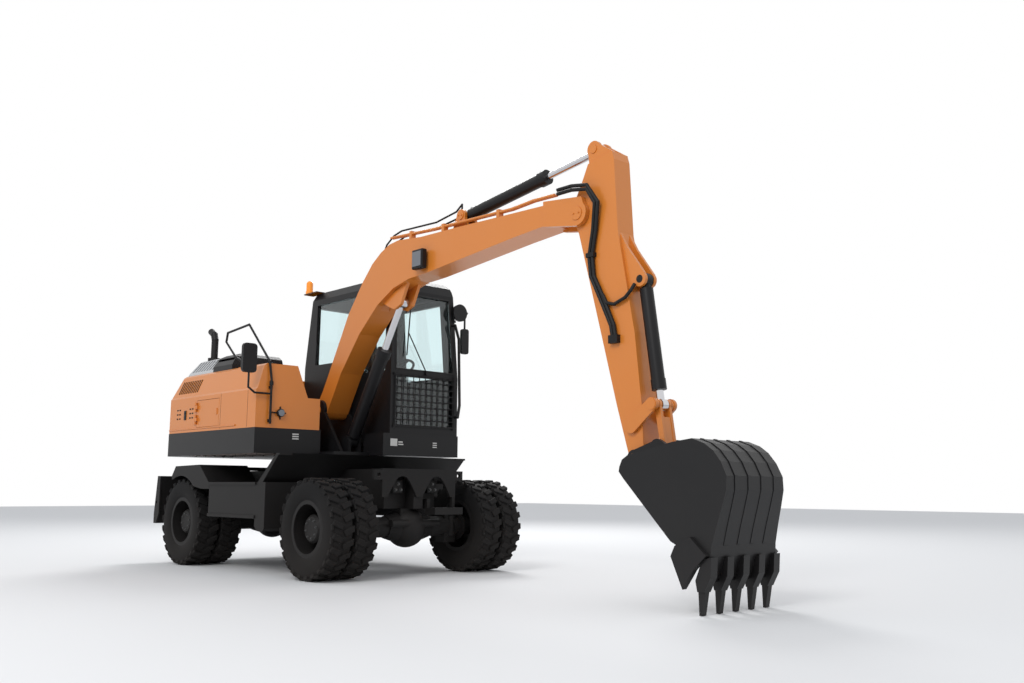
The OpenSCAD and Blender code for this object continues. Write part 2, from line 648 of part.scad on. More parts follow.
// Everything that is glazed in the cab's walls
module cab_windows() {
    // Windscreen and lower screen
    plate_x(cab_front - 120, cab_front + 50) polygon([[cab_right + 65, 2255], [1115, 2255], [1030, 3140], [cab_right + 65, 3140]]);
    plate_x(cab_front - 120, cab_front + 50) polygon([[cab_right + 65, 1610], [1115, 1610], [1115, 2180], [cab_right + 65, 2180]]);
    // Rear window
    plate_x(cab_rear - 50, cab_rear + 230) polygon([[cab_right + 75, 2460], [1080, 2460], [1015, 3160], [cab_right + 75, 3160]]);
    // Right window and the small left one behind the door
    slab(cab_right - 50, cab_right + 60) polygon([[cab_rear + 240, 2420], [0, 2420], [260, 2240], [640, 2240], [640, 3180],
        [cab_rear + 250, 3180]]);
    slab(upper_left - 200, upper_left + 50) polygon([[cab_rear + 240, 2300], [-420, 2300], [-420, 3180], [cab_rear + 250, 3180]]);
}

// Axis of the cab door's hinges, and each hinge's height and leaf length
door_pin = [650, upper_left + hinge_d / 2 + 3];
door_hinges = [[1700, 40], [2290, 48], [2900, 104]];

module cab_shell() color(black) site() {
    difference() {
        cab_body(0);
        cab_body(cab_wall);
        cab_windows();
        slab(upper_left - 200, upper_left + 50) door_outline(0);
    }
    for (h = door_hinges) hinge_fixed([door_pin[0], door_pin[1], h[0]], -h[1], 1);
}

module cab_glass() color(tint) site() intersection() {
    difference() {
        cab_body(24);
        cab_body(24 + glass_t);
    }
    cab_windows();
}

module cab_door() color(black) site() {
    difference() {
        intersection() {
            difference() {
                cab_body(0);
                cab_body(45);
            }
            slab(upper_left - 200, upper_left + 50) door_outline(side_gap);
        }
        slab(upper_left - 200, upper_left + 50) door_window();
    }
    for (h = door_hinges) hinge_moving([door_pin[0], door_pin[1], h[0]], -h[1], -1);
}

module door_glass() color(tint) site() intersection() {
    difference() {
        cab_body(20);
        cab_body(20 + glass_t);
    }
    slab(upper_left - 200, upper_left + 50) door_window();
}

module cab_interior() color(black) site() {
    floor_z = skirt_top - 25 + cab_wall;
    // Seat on its box
    block([-620, 480, floor_z], [-160, 850, floor_z + 340]);
    block([-660, 450, floor_z + 340], [-130, 880, floor_z + 470]);
    slab(460, 870) polygon([[-660, floor_z + 440], [-530, floor_z + 440], [-620, floor_z + 1150], [-740, floor_z + 1150]]);
    // Side consoles
    block([-580, 290, floor_z], [-20, 420, floor_z + 560]);
    block([-580, 920, floor_z], [-20, 1050, floor_z + 560]);
    // Steering column and wheel
    tube([[420, 665, floor_z + 4], [360, 665, floor_z + 640], [290, 665, floor_z + 760]], 70);
    translate([290, 665, floor_z + 760]) rotate([0, -30, 0]) {
        rotate_extrude() translate([170, 0]) circle(d = 30);
        block([-170, -20, -10], [170, 20, 10]);
    }
}

module window_guard() color(black) site() {
    x = cab_front + 12;
    for (i = [0 : 10]) block([x, 250 + i * 86 - 4, 1600], [x + 8, 250 + i * 86 + 4, 2200]);
    for (i = [0 : 8]) block([x, 246, 1600 + i * 74], [x + 8, 1114, 1608 + i * 74]);
    for (y = [230, 1100]) for (z = [1585, 2185]) block([cab_front, y, z], [x + 8, y + 24, z + 24]);
}

module cab_mirrors() color(black) site() {
    // Grab tube on the front left pillar
    face = cab_front + seat_gap;
    tube([[face, 1140, 1740], [cab_front + 60, 1140, 1740], [cab_front + 60, 1165, 1880],
        [cab_front + 60, 1140, 2680], [cab_front + 60, 1080, 2840], [face, 1080, 2840]], 34);
    // Round mirror
    tube([[face, 1085, 2995], [cab_front + 35, 1085, 2995], [cab_front + 60, 1120, 3000]], 24);
    translate([cab_front + 45, 1150, 3000]) rotate([0, 90, 0]) cylinder(h = 30, d = 210);
    // Upright mirror beside the pillar
    stem = mirror_reach - 55;
    tube([[cab_front + 60, 1190, 3030], [cab_front + 20, stem - 45, 3020], [683, stem, 2990], [683, stem, 2820]], 24);
    plate_x(665, 701) translate([mirror_reach - 110, 2530]) offset(r = 30) offset(delta = -30) square([110, 310]);
}

module beacon() color([0.95, 0.55, 0.10]) site() translate([cab_rear + 20, cab_right + 12, cab_top + seat_gap]) {
    // Bracket on the roof's edge
    block([-50, -50, 0], [250, 90, 12]);
    cylinder(h = 50, d = 96);
    cylinder(h = 152, d = 84);
    translate([0, 0, 146]) sphere(d = 82);
}

// Height of the boom's back edge, where it is nearly level
function boom_top(x) = lookup(x, [[1300, 3585], [1700, 3550], [2290, 3540], [3620, 3505]]);

// Boom outlines, as X and Z: the back and top edge, then the underside
boom_back = [[-220, 1880], [-115, 2020], [250, 2655], [370, 2870], [640, 3210], [820, 3395], [980, 3500],
    [1135, 3565], [1300, 3585], [1700, 3550], [2290, 3540], [3620, 3505]];
boom_under = [[3620, 3315], [3130, 3275], [1790, 3140], [1500, 3125], [1220, 3060], [936, 2910], [600, 2620],
    [255, 2205], [-10, 1760]];

module boom() color(orange) site() {
    half = boom_w / 2;
    difference() {
        union() {
            slab(-half, half) polygon(concat(boom_back, boom_under));
            cross(foot_pin, 210, -half, half);
            // Tip fork
            slabs(arm_w / 2 + side_gap, half + 12) {
                polygon([[3560, 3540], [4040, 3490], [4090, 3345], [3985, 3230], [3560, 3300]]);
                translate(tip_pin) circle(d = 220);
            }
            // Ears of the arm cylinder, on the top
            slabs(50, 85) {
                polygon([[2140, 3500], [2400, 3500], [2350, 3640], [2340, 3700], [2230, 3700]]);
                translate(arm_base_pin) circle(d = 130);
            }
            // Ears of the boom cylinder, on the underside
            slabs(58, 95) polygon([[950, 2949], [1420, 3120], [1300, 2880], [1190, 2840], [1108, 2866]]);
        }
        cross(arm_base_pin, pin_d, -100, 100);
        // Pocket in the underside, in which the rod's eye travels
        slab(-58, 58) polygon([[850, 2790], [948, 3000], [955, 3080], [1005, 3128], [1075, 3140], [1160, 3118],
            [1240, 3065], [1300, 2985], [1310, 2790]]);
    }
    cross(foot_pin, foot_pin_d - 2 * pin_gap, -half - side_gap - 38, half + side_gap + 38);
    cross(tip_pin, pin_d - 2 * pin_gap, -half, half);
}

// Height of the pipes on the boom's back
function pipe_z(x) = lookup(x, [[1150, 3640], [1900, 3600], [3100, 3570], [3400, 3590], [3690, 3585]]);

module boom_pipes() color(orange) site() {
    for (y = [-132, -101.5]) tube([for (x = [1150, 1900, 3100, 3400, 3690]) [x, y, pipe_z(x)]], 26);
    // Saddles
    for (x = [1500, 2050, 2900]) slab(-147, -87) polygon([[x, boom_top(x) + seat_gap], [x, pipe_z(x) + 26],
        [x + 40, pipe_z(x) + 26], [x + 40, boom_top(x + 40) + seat_gap]]);
}

// Hoses from the boom's back to the arm cylinder's ears
module boom_hoses() color(rubber) site() {
    ear_top = arm_base_pin[1] + 65 + seat_gap;
    tube([[880, -20, 3442], [880, -20, 3560], [918, -20, 3623], [1047, -20, 3703], [1190, -20, 3734], [1806, -20, 3712],
        [2163, -40, 3752], [2286, -67, 3800], [2286, -67, ear_top]], 20, 12);
    tube([[930, 20, 3475], [930, 20, 3560], [1000, 20, 3615], [1190, 20, 3672], [1806, 20, 3664],
        [2150, 45, 3720], [2286, 67, 3790], [2286, 67, ear_top]], 20, 12);
}

// A cylinder's barrel, from its base pin to its gland at the distance stop
module barrel(base, eye, d, rod, stop, eye_w, stub_d, stub_w, collar) {
    full = gap_len(base, eye);
    difference() {
        union() {
            cross(base, 120, -eye_w, eye_w);
            strut(base, eye, 2 * eye_w - 4, 20, 90);
            strut(base, eye, d, 80, stop);
            strut(base, eye, d + collar, stop - 90, stop);
        }
        strut(base, eye, rod + 2 * pin_gap, 92, full);
    }
    cross(base, stub_d - 2 * pin_gap, -stub_w, stub_w);
}

// A cylinder's rod from the distance start to its eye
module piston_rod(base, eye, rod, start, eye_d, eye_w) {
    full = gap_len(base, eye);
    strut(base, eye, rod, start, full - 30);
    cross(eye, eye_d, -eye_w, eye_w);
    cross(eye, eye_d * 0.6, -eye_w - 5, eye_w + 5);
}

module boom_barrel() color(black) site()
    barrel(boom_base_pin, boom_eye, boom_barrel_d, boom_rod_d, 1172, 44, pin_d, 85, 22);
module boom_rod() color(steel) site() piston_rod(boom_base_pin, boom_eye, boom_rod_d, 612, 130, 46);
module arm_barrel() color(black) site()
    barrel(arm_base_pin, arm_eye, arm_barrel_d, arm_rod_d, 1190, 44, pin_d, 85, 22);
module arm_rod() color(steel) site() piston_rod(arm_base_pin, arm_eye, arm_rod_d, 624, 120, 40);

module arm() color(orange) site() {
    half = arm_w / 2;
    difference() {
        union() {
            slab(-half, half) polygon([[4078, 3790], [4000, 3627], [3942, 3524], [3880, 3345], [3965, 3170], [4214, 2266],
                [4395, 1600], [4530, 1150], [4680, 1150], [4662, 1600], [4595, 2214], [4424, 3100], [4386, 3768], [4364, 3845]]);
            cross(bucket_pin, 150, -half, half);
            cross(tip_pin, 210, -half, half);
            // Ears of the arm cylinder
            slabs(50, 85) {
                polygon([[4078, 3780], [4060, 3925], [4128, 4000], [4364, 3845], [4300, 3700]]);
                translate(arm_eye) circle(d = 150);
            }
            // Ears of the bucket cylinder
            slabs(46, 76) {
                polygon([[4380, 3180], [4500, 2960], [4680, 2710], [4697, 2660], [4660, 2610], [4570, 2610], [4480, 2560]]);
                translate(bucket_base_pin) circle(d = 130);
            }
            // Collars of the guide links' pin
            cross(guide_pin, 120, -half, half);
        }
        cross(tip_pin, pin_d, -200, 200);
        cross(bucket_pin, pin_d, -200, 200);
        cross(bucket_base_pin, pin_d, -200, 200);
        cross(guide_pin, pin_d, -200, 200);
        // Room between the ears for the rod's eye
        slab(-50, 50) polygon([[3900, 3830], [4110, 3830], [4200, 3860], [4220, 3950], [4200, 4100], [3900, 4100]]);
    }
    // Caps of the arm cylinder's pin
    slabs(85, 93) translate(arm_eye) circle(d = 80);
}

module hoses() color(rubber) site() {
    for (k = [0, 1]) tube([[3770, -182, 3600 - k * 38], [3947, -182, 3600 - k * 38], [4130, -180, 3570 - k * 38],
        [4236 - k * 38, -152, 3399], [4195 - k * 38, -132, 3162], [4145 - k * 38, -128, 2931], [4165 - k * 38, -128, 2748],
        [4265 - k * 30, -128, 2555 - k * 20], [4389 - k * 34, -128, 2287], [4412 - k * 34, -128, 2151]], 34);
    tube([[4265, -128, 2570], [4310, -132, 2490], [4396, -132, 2465], [4521, -135, 2506], [4575, -125, 2560], [4590, -90, 2620]], 30);
    // Clamps on the arm's side
    block([4085, -150, 2920], [4175, -arm_w / 2, 2960]);
    block([4340, -150, 2130], [4440, -arm_w / 2, 2200]);
}

module bucket_barrel() color(black) site()
    barrel(bucket_base_pin, link_pin, bucket_barrel_d, arm_rod_d, 955, 40, pin_d, 76, 10);
module bucket_rod() color(steel) site() piston_rod(bucket_base_pin, link_pin, arm_rod_d, 160, 100, 36);

module guide_links() color(orange) site() {
    half = arm_w / 2 + side_gap;
    slabs(half, half + 28) lever(guide_pin, link_pin, 120, 110);
    cross(guide_pin, pin_d - 2 * pin_gap, -half - 28, half + 28);
    slabs(84, half + 34) translate(link_pin) circle(d = 96, $fn = 48);
    slabs(46, half + 34) translate(link_pin) circle(d = link_pin_d - 2 * pin_gap, $fn = 48);
}

module bucket_link() color(orange) site() {
    v = (ear_pin - link_pin) / norm(ear_pin - link_pin);
    front = [-v[1], v[0]];
    slabs(46, 76) difference() {
        union() {
            polygon([link_pin - 14 * front, link_pin + 42 * front, ear_pin + 36 * front, ear_pin - 14 * front]);
            translate(link_pin) circle(d = 96, $fn = 48);
            translate(ear_pin) circle(d = 76, $fn = 48);
        }
        translate(link_pin) circle(d = link_pin_d, $fn = 48);
    }
    cross(ear_pin, 76, -104, 104);
    slab(-50, 50) polygon([link_pin + 110 * v - 10 * front, link_pin + 110 * v + 36 * front,
        ear_pin + 30 * front, ear_pin - 10 * front]);
}

// Bucket outlines, as X and Z: outside of the shell from the top corner round to the lip, and its inside
bucket_outer = [[4704, 1077], [4726, 1133], [4784, 1172], [5193, 1262], [5362, 1284], [5470, 1245], [5546, 1191],
    [5614, 1108], [5664, 1004], [5663, 901], [5632, 787], [5588, 637], [5552, 498]];
bucket_inner = [[5529, 500], [5566, 643], [5610, 793], [5641, 905], [5642, 1000], [5594, 1098], [5531, 1175],
    [5461, 1224], [5361, 1262], [5197, 1240], [4790, 1150]];

// The bucket narrows from its mouth to its back: a wedge across the mouth plane, pulled in by d
module bucket_wedge(d) translate([4713, 0, 1023]) rotate([0, -44.8, 0]) translate([0, 0, -1300]) linear_extrude(2600)
    polygon([[-400, -bucket_w / 2 - 43 + d], [900, -bucket_w / 2 + 98 + d], [900, bucket_w / 2 - 98 - d], [-400, bucket_w / 2 + 43 - d]]);

module bucket() color(black) site() {
    difference() {
        intersection() {
            slab(-600, 600) polygon(concat(bucket_outer, [[5535, 430], [5260, 490], [5201, 520], [4749, 983], [4700, 1040]]));
            bucket_wedge(0);
        }
        intersection() {
            slab(-600, 600) polygon(concat(bucket_inner, [[4640, 1150], [4560, 900], [5000, 300], [5480, 380]]));
            bucket_wedge(bucket_t);
        }
    }
    // Lip
    intersection() {
        slab(-600, 600) polygon([[5552, 500], [5529, 500], [5495, 400], [5430, 240], [5475, 235], [5545, 420]]);
        bucket_wedge(0);
    }
    // Teeth in their holders
    for (i = [-2 : 2]) translate([0, i * bucket_w * 0.23, 0]) {
        slab(-40, 40) polygon([[5570, 420], [5490, 400], [5425, 250], [5440, 170], [5500, 170], [5560, 280]]);
        slab(-26, 26) polygon([[5500, 175], [5440, 175], [5445, 3], [5468, 3]]);
    }
    // Side cutters
    slabs(bucket_w / 2 - 20, bucket_w / 2 + 30) polygon([[5261, 491], [5222, 414], [5326, 180], [5430, 328], [5540, 430], [5400, 560]]);
    // Hinge ears
    ear = arm_w / 2 + side_gap + 3;
    slabs(ear, ear + 35) {
        polygon([[4545, 1130], [4570, 1210], [4800, 1285], [4885, 1292], [5020, 1210], [4780, 1155], [4690, 1085], [4610, 1078]]);
        translate(bucket_pin) circle(d = 150);
        translate(ear_pin) circle(d = 130);
    }
    cross(bucket_pin, pin_d - 2 * pin_gap, -ear - 35, ear + 35);
}

chassis();
slew_bearing();
front_axle();
rear_axle();
driveline();
fenders();
side_boxes();
blade_arms();
blade_links();
blade();
blade_barrels();
blade_rods();
knuckle_left();
knuckle_right();
rims_front_left();
tyres_front_left();
rims_front_right();
tyres_front_right();
rims_rear_left();
tyres_rear_left();
rims_rear_right();
tyres_rear_right();
deck();
counterweight();
hood();
tank_housing();
engine();
exhaust();
roof_grille();
engine_lid();
side_door();
handrails();
cab_shell();
cab_glass();
cab_interior();
window_guard();
cab_mirrors();
beacon();
cab_door();
door_glass();
boom();
boom_pipes();
boom_hoses();
boom_barrel();
boom_rod();
arm_barrel();
arm_rod();
arm();
hoses();
bucket_barrel();
bucket_rod();
guide_links();
bucket_link();
bucket();
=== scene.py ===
# %% [markdown]
# # A wheeled excavator, dressed for a picture
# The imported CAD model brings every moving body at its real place. Where a solid has the
# right shape it stays, and only gets a better finish. Where the real thing is finer, as
# on a tyre's tread, a piece modelled here stands for the solid. Small things that load
# nothing, such as bolts, seams, lamps and seals, are added on the bodies that carry them.

import json
import math

import bpy
from mathutils import Matrix, Vector


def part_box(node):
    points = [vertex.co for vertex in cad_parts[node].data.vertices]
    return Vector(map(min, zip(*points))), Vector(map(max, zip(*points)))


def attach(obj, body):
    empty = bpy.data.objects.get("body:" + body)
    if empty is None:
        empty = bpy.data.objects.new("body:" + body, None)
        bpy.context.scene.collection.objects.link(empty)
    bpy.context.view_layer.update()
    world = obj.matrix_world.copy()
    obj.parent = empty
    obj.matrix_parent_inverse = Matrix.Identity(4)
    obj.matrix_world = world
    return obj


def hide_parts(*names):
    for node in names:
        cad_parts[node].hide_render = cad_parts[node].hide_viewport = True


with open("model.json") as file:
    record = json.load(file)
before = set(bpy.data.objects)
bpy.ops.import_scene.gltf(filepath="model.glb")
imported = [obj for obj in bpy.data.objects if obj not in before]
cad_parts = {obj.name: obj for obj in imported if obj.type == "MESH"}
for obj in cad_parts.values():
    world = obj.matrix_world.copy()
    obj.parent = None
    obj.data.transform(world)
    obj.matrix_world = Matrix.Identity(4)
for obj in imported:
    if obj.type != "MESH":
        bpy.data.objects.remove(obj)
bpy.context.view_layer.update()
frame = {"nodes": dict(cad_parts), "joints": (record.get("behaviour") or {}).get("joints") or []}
nodes = frame["nodes"]
joint_at = {j["name"]: Vector(j["pos_m"]) for j in frame["joints"] if "pos_m" in j}
SWING_X = joint_at["swing"].x
print("frame:", len(nodes), "nodes, swing axis at x =", round(SWING_X, 3))

# %% [markdown]
# ## Working in the machine's own measures
# A fitter measures an excavator from its swing axis, in millimetres. The helper `at`
# turns such a measure into the frame's metres, so every size below can be read like a
# drawing. Everything selected by the import is deselected first, because an operator
# acts on all that is selected.

# %% Measures and selection
MM = 0.001


def at(x, y, z):
    return Vector((SWING_X + x * MM, y * MM, z * MM))


def select_only(piece):
    bpy.ops.object.select_all(action="DESELECT")
    piece.select_set(True)
    bpy.context.view_layer.objects.active = piece


def settle(piece):
    """Puts the object's place into its mesh, and applies what modifiers it has."""
    select_only(piece)
    for modifier in list(piece.modifiers):
        bpy.ops.object.modifier_apply(modifier=modifier.name)
    bpy.ops.object.transform_apply(location=True, rotation=True, scale=True)
    return piece


def fit(piece, body, material, name=None):
    """Names a finished piece, gives it its finish and lets it ride on a body."""
    if name:
        piece.name = name
        piece.data.name = name
    piece.data.materials.clear()
    piece.data.materials.append(material)
    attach(piece, body)
    return piece


bpy.ops.object.select_all(action="DESELECT")

# %% [markdown]
# ## Four ways to start a piece
# Most small hardware is a block, a round bar, a plate cut to an outline, or a tube bent
# along a route. Each helper adds a primitive at its size and place and finishes it in
# edit mode or with a modifier. Joining then makes one piece of what is welded together.


# %% Blocks, bars, plates and joins
def bevelled(piece, width, segments=2):
    bevel = piece.modifiers.new("Edge", "BEVEL")
    bevel.width = width
    bevel.segments = segments
    bevel.limit_method = "ANGLE"
    bevel.harden_normals = False
    return settle(piece)


def block(low, high, edge=2.0):
    """A block between two corners in the machine's millimetres."""
    low, high = at(*low), at(*high)
    bpy.ops.mesh.primitive_cube_add(size=1, location=(low + high) / 2)
    piece = bpy.context.object
    piece.scale = high - low
    settle(piece)
    return bevelled(piece, edge * MM) if edge else piece


def bar(start, end, radius, sides=20):
    """A round bar between two points."""
    start, end = at(*start), at(*end)
    way = end - start
    bpy.ops.mesh.primitive_cylinder_add(
        vertices=sides, radius=radius * MM, depth=way.length, location=(start + end) / 2,
        rotation=way.to_track_quat("Z", "Y").to_euler())
    piece = bpy.context.object
    settle(piece)
    return bevelled(piece, min(radius, way.length / MM) * 0.12 * MM, 1)


def plate(outline, y_low, y_high, edge=0.0):
    """A plate with an outline in X and Z, as thick as from y_low to y_high."""
    bpy.ops.mesh.primitive_circle_add(vertices=len(outline), radius=1, fill_type="NGON")
    piece = bpy.context.object
    for vertex, (x, z) in zip(piece.data.vertices, outline):
        vertex.co = at(x, y_low, z)
    bpy.ops.object.mode_set(mode="EDIT")
    bpy.ops.mesh.select_all(action="SELECT")
    bpy.ops.mesh.extrude_region_move(
        TRANSFORM_OT_translate={"value": (0, (y_high - y_low) * MM, 0)})
    bpy.ops.mesh.select_all(action="SELECT")
    bpy.ops.mesh.normals_make_consistent(inside=False)
    bpy.ops.object.mode_set(mode="OBJECT")
    settle(piece)
    return bevelled(piece, edge * MM) if edge else piece


def joined(pieces):
    """Several objects as one."""
    pieces = list(pieces)
    select_only(pieces[0])
    for piece in pieces[1:]:
        piece.select_set(True)
    if len(pieces) > 1:
        bpy.ops.object.join()
    return bpy.context.object


def twin(piece, matrix):
    """A copy with its own mesh, moved by a matrix."""
    copy = piece.copy()
    copy.data = piece.data.copy()
    bpy.context.collection.objects.link(copy)
    copy.data.transform(matrix)
    return copy


def tube(route, radius, sides=12, rounds=10):
    """A bent tube or hose: a curve through the route's points, made a mesh."""
    curve = bpy.data.curves.new("route", "CURVE")
    curve.dimensions = "3D"
    curve.bevel_depth = radius * MM
    curve.bevel_resolution = max(sides // 4 - 1, 1)
    curve.resolution_u = rounds
    curve.use_fill_caps = True
    line = curve.splines.new("BEZIER")
    line.bezier_points.add(len(route) - 1)
    for point, place in zip(line.bezier_points, route):
        point.co = at(*place)
        point.handle_left_type = point.handle_right_type = "AUTO"
    piece = bpy.data.objects.new("tube", curve)
    bpy.context.collection.objects.link(piece)
    select_only(piece)
    bpy.ops.object.convert(target="MESH")
    piece = bpy.context.object
    smooth(piece, 60)
    return piece


def smooth(piece, degrees=35):
    select_only(piece)
    bpy.ops.object.shade_smooth_by_angle(angle=math.radians(degrees))
    return piece


# %% [markdown]
# ## Effects that several finishes share
# A machine that works outdoors is never one flat colour. Dust settles on what faces up
# and on what is near the ground, and paint has a fine orange-peel skin. Each effect is a
# node group with named sockets, so that paint, rubber and steel can use it with their
# own values.


# %% The dust group and the skin group
def group_with(name, inputs, outputs):
    group = bpy.data.node_groups.new(name, "ShaderNodeTree")
    for label, kind, value in inputs:
        socket = group.interface.new_socket(label, in_out="INPUT", socket_type=kind)
        socket.default_value = value
    for label, kind in outputs:
        group.interface.new_socket(label, in_out="OUTPUT", socket_type=kind)
    return group, group.nodes.new("NodeGroupInput"), group.nodes.new("NodeGroupOutput")


def build_dust():
    colour, number = "NodeSocketColor", "NodeSocketFloat"
    group, given, result = group_with(
        "Settled dust",
        [("Clean", colour, (0.5, 0.5, 0.5, 1)), ("Dust", colour, (0.3, 0.25, 0.2, 1)),
         ("Amount", number, 0.3), ("Top of splash", number, 1.0),
         ("Clean roughness", number, 0.4), ("Patch size", number, 3.0)],
        [("Colour", colour), ("Roughness", number)])
    add = group.nodes.new
    link = group.links.new
    place = add("ShaderNodeTexCoord")
    patches = add("ShaderNodeTexNoise")
    patches.inputs["Detail"].default_value = 6
    patches.inputs["Roughness"].default_value = 0.6
    link(place.outputs["Object"], patches.inputs["Vector"])
    link(given.outputs["Patch size"], patches.inputs["Scale"])
    height = add("ShaderNodeSeparateXYZ")
    link(place.outputs["Object"], height.inputs["Vector"])
    low = add("ShaderNodeMapRange")
    low.inputs["From Min"].default_value = 0.0
    low.inputs["To Min"].default_value = 1.0
    low.inputs["To Max"].default_value = 0.0
    link(height.outputs["Z"], low.inputs["Value"])
    link(given.outputs["Top of splash"], low.inputs["From Max"])
    facing = add("ShaderNodeNewGeometry")
    lean = add("ShaderNodeSeparateXYZ")
    link(facing.outputs["Normal"], lean.inputs["Vector"])
    up = add("ShaderNodeMapRange")
    up.inputs["From Min"].default_value = 0.5
    up.inputs["To Max"].default_value = 0.6
    link(lean.outputs["Z"], up.inputs["Value"])
    both = add("ShaderNodeMath")
    both.operation = "MAXIMUM"
    link(low.outputs["Result"], both.inputs[0])
    link(up.outputs["Result"], both.inputs[1])
    broken = add("ShaderNodeMapRange")
    broken.inputs["From Min"].default_value = 0.35
    broken.inputs["From Max"].default_value = 0.7
    link(patches.outputs["Fac"], broken.inputs["Value"])
    spread = add("ShaderNodeMath")
    spread.operation = "MULTIPLY_ADD"
    spread.inputs[1].default_value = 0.85
    link(both.outputs["Value"], spread.inputs[0])
    floor = add("ShaderNodeMath")
    floor.operation = "MULTIPLY"
    floor.inputs[1].default_value = 0.25
    link(broken.outputs["Result"], floor.inputs[0])
    link(floor.outputs["Value"], spread.inputs[2])
    share = add("ShaderNodeMath")
    share.operation = "MULTIPLY"
    share.use_clamp = True
    link(spread.outputs["Value"], share.inputs[0])
    link(given.outputs["Amount"], share.inputs[1])
    mix = add("ShaderNodeMix")
    mix.data_type = "RGBA"
    link(share.outputs["Value"], mix.inputs[0])
    link(given.outputs["Clean"], mix.inputs[6])
    link(given.outputs["Dust"], mix.inputs[7])
    link(mix.outputs[2], result.inputs["Colour"])
    dull = add("ShaderNodeMapRange")
    dull.inputs["To Max"].default_value = 0.95
    link(share.outputs["Value"], dull.inputs["Value"])
    link(given.outputs["Clean roughness"], dull.inputs["To Min"])
    link(dull.outputs["Result"], result.inputs["Roughness"])
    return group


def build_skin():
    group, given, result = group_with(
        "Fine skin",
        [("Grain", "NodeSocketFloat", 200.0), ("Depth", "NodeSocketFloat", 0.3)],
        [("Height", "NodeSocketFloat")])
    place = group.nodes.new("ShaderNodeTexCoord")
    noise = group.nodes.new("ShaderNodeTexNoise")
    noise.inputs["Detail"].default_value = 3
    scaled = group.nodes.new("ShaderNodeMath")
    scaled.operation = "MULTIPLY"
    group.links.new(place.outputs["Object"], noise.inputs["Vector"])
    group.links.new(given.outputs["Grain"], noise.inputs["Scale"])
    group.links.new(noise.outputs["Fac"], scaled.inputs[0])
    group.links.new(given.outputs["Depth"], scaled.inputs[1])
    group.links.new(scaled.outputs["Value"], result.inputs["Height"])
    return group


DUST = build_dust()
SKIN = build_skin()
print("groups:", DUST.name, "and", SKIN.name)

# %% [markdown]
# ## The finishes
# One function makes every finish from its own values: the clean colour, how shiny it is
# and how much dust it holds. What is the same all over is set on the shader's own
# sockets. Chrome, glass and lamps hold no dust, so they are plain.


# %% Painted and rubber finishes
def weathered(name, colour, roughness, dust=0.3, splash=1.1, metallic=0.0, grain=0.0,
              depth=0.15, coat=0.0, patch=2.5, gloss=0.5, dust_colour=(0.05, 0.042, 0.036, 1)):
    material = bpy.data.materials.new(name)
    material.use_nodes = True
    tree = material.node_tree
    shader = tree.nodes["Principled BSDF"]
    shader.inputs["Metallic"].default_value = metallic
    shader.inputs["Specular IOR Level"].default_value = gloss
    shader.inputs["Coat Weight"].default_value = coat
    shader.inputs["Coat Roughness"].default_value = 0.12
    soil = tree.nodes.new("ShaderNodeGroup")
    soil.node_tree = DUST
    soil.inputs["Clean"].default_value = (*colour, 1)
    soil.inputs["Dust"].default_value = dust_colour
    soil.inputs["Amount"].default_value = dust
    soil.inputs["Top of splash"].default_value = splash
    soil.inputs["Clean roughness"].default_value = roughness
    soil.inputs["Patch size"].default_value = patch
    tree.links.new(soil.outputs["Colour"], shader.inputs["Base Color"])
    tree.links.new(soil.outputs["Roughness"], shader.inputs["Roughness"])
    if grain:
        skin = tree.nodes.new("ShaderNodeGroup")
        skin.node_tree = SKIN
        skin.inputs["Grain"].default_value = grain
        skin.inputs["Depth"].default_value = depth
        bump = tree.nodes.new("ShaderNodeBump")
        bump.inputs["Strength"].default_value = 0.25
        bump.inputs["Distance"].default_value = 0.002
        tree.links.new(skin.outputs["Height"], bump.inputs["Height"])
        tree.links.new(bump.outputs["Normal"], shader.inputs["Normal"])
    return material


def plain(name, colour, roughness, metallic=0.0, transmission=0.0, emission=None):
    material = bpy.data.materials.new(name)
    material.use_nodes = True
    shader = material.node_tree.nodes["Principled BSDF"]
    shader.inputs["Base Color"].default_value = (*colour, 1)
    shader.inputs["Roughness"].default_value = roughness
    shader.inputs["Metallic"].default_value = metallic
    shader.inputs["Transmission Weight"].default_value = transmission
    if emission:
        shader.inputs["Emission Color"].default_value = (*colour, 1)
        shader.inputs["Emission Strength"].default_value = emission
    return material


ORANGE = weathered("Orange paint", (0.62, 0.19, 0.022), 0.34, dust=0.16, splash=0.6,
                   coat=0.2, grain=90, dust_colour=(0.50, 0.30, 0.15, 1))
BLACK = weathered("Black paint", (0.007, 0.007, 0.008), 0.40, dust=0.18, splash=1.3, grain=120,
                  gloss=0.25)
UNDER_BLACK = weathered("Black chassis paint", (0.006, 0.006, 0.0065), 0.5, dust=0.2,
                        splash=1.5, grain=60, gloss=0.2)
BUCKET_BLACK = weathered("Bucket paint", (0.006, 0.006, 0.007), 0.38, dust=0.14, splash=1.0,
                         grain=50, gloss=0.3)
SILVER = weathered("Silver paint", (0.50, 0.51, 0.52), 0.35, dust=0.15, metallic=0.3,
                   dust_colour=(0.2, 0.17, 0.14, 1))
RUBBER = weathered("Tyre rubber", (0.006, 0.006, 0.0065), 0.72, dust=0.3, splash=0.9,
                   grain=150, gloss=0.15)
HOSE = weathered("Hose rubber", (0.007, 0.007, 0.0075), 0.5, dust=0.15, grain=300, gloss=0.25)
CAST = weathered("Cast grey", (0.16, 0.165, 0.17), 0.55, dust=0.4)
TRIM = weathered("Cab trim", (0.02, 0.02, 0.023), 0.7, dust=0.1, gloss=0.3)
FABRIC = weathered("Seat fabric", (0.02, 0.022, 0.03), 0.9, dust=0.05, grain=500, gloss=0.2)
BELLY = weathered("Dusty primer", (0.30, 0.24, 0.22), 0.8, dust=0.5,
                  dust_colour=(0.38, 0.31, 0.27, 1))
SEAL = plain("Rubber seal", (0.006, 0.006, 0.006), 0.6)
# Near-black for the dark panel joints, and also painted shade standing in for the shade inside slot
# openings
GAP_AND_SLOT_SHADE = plain("Panel gap and painted slot shade", (0.004, 0.004, 0.004), 0.8)
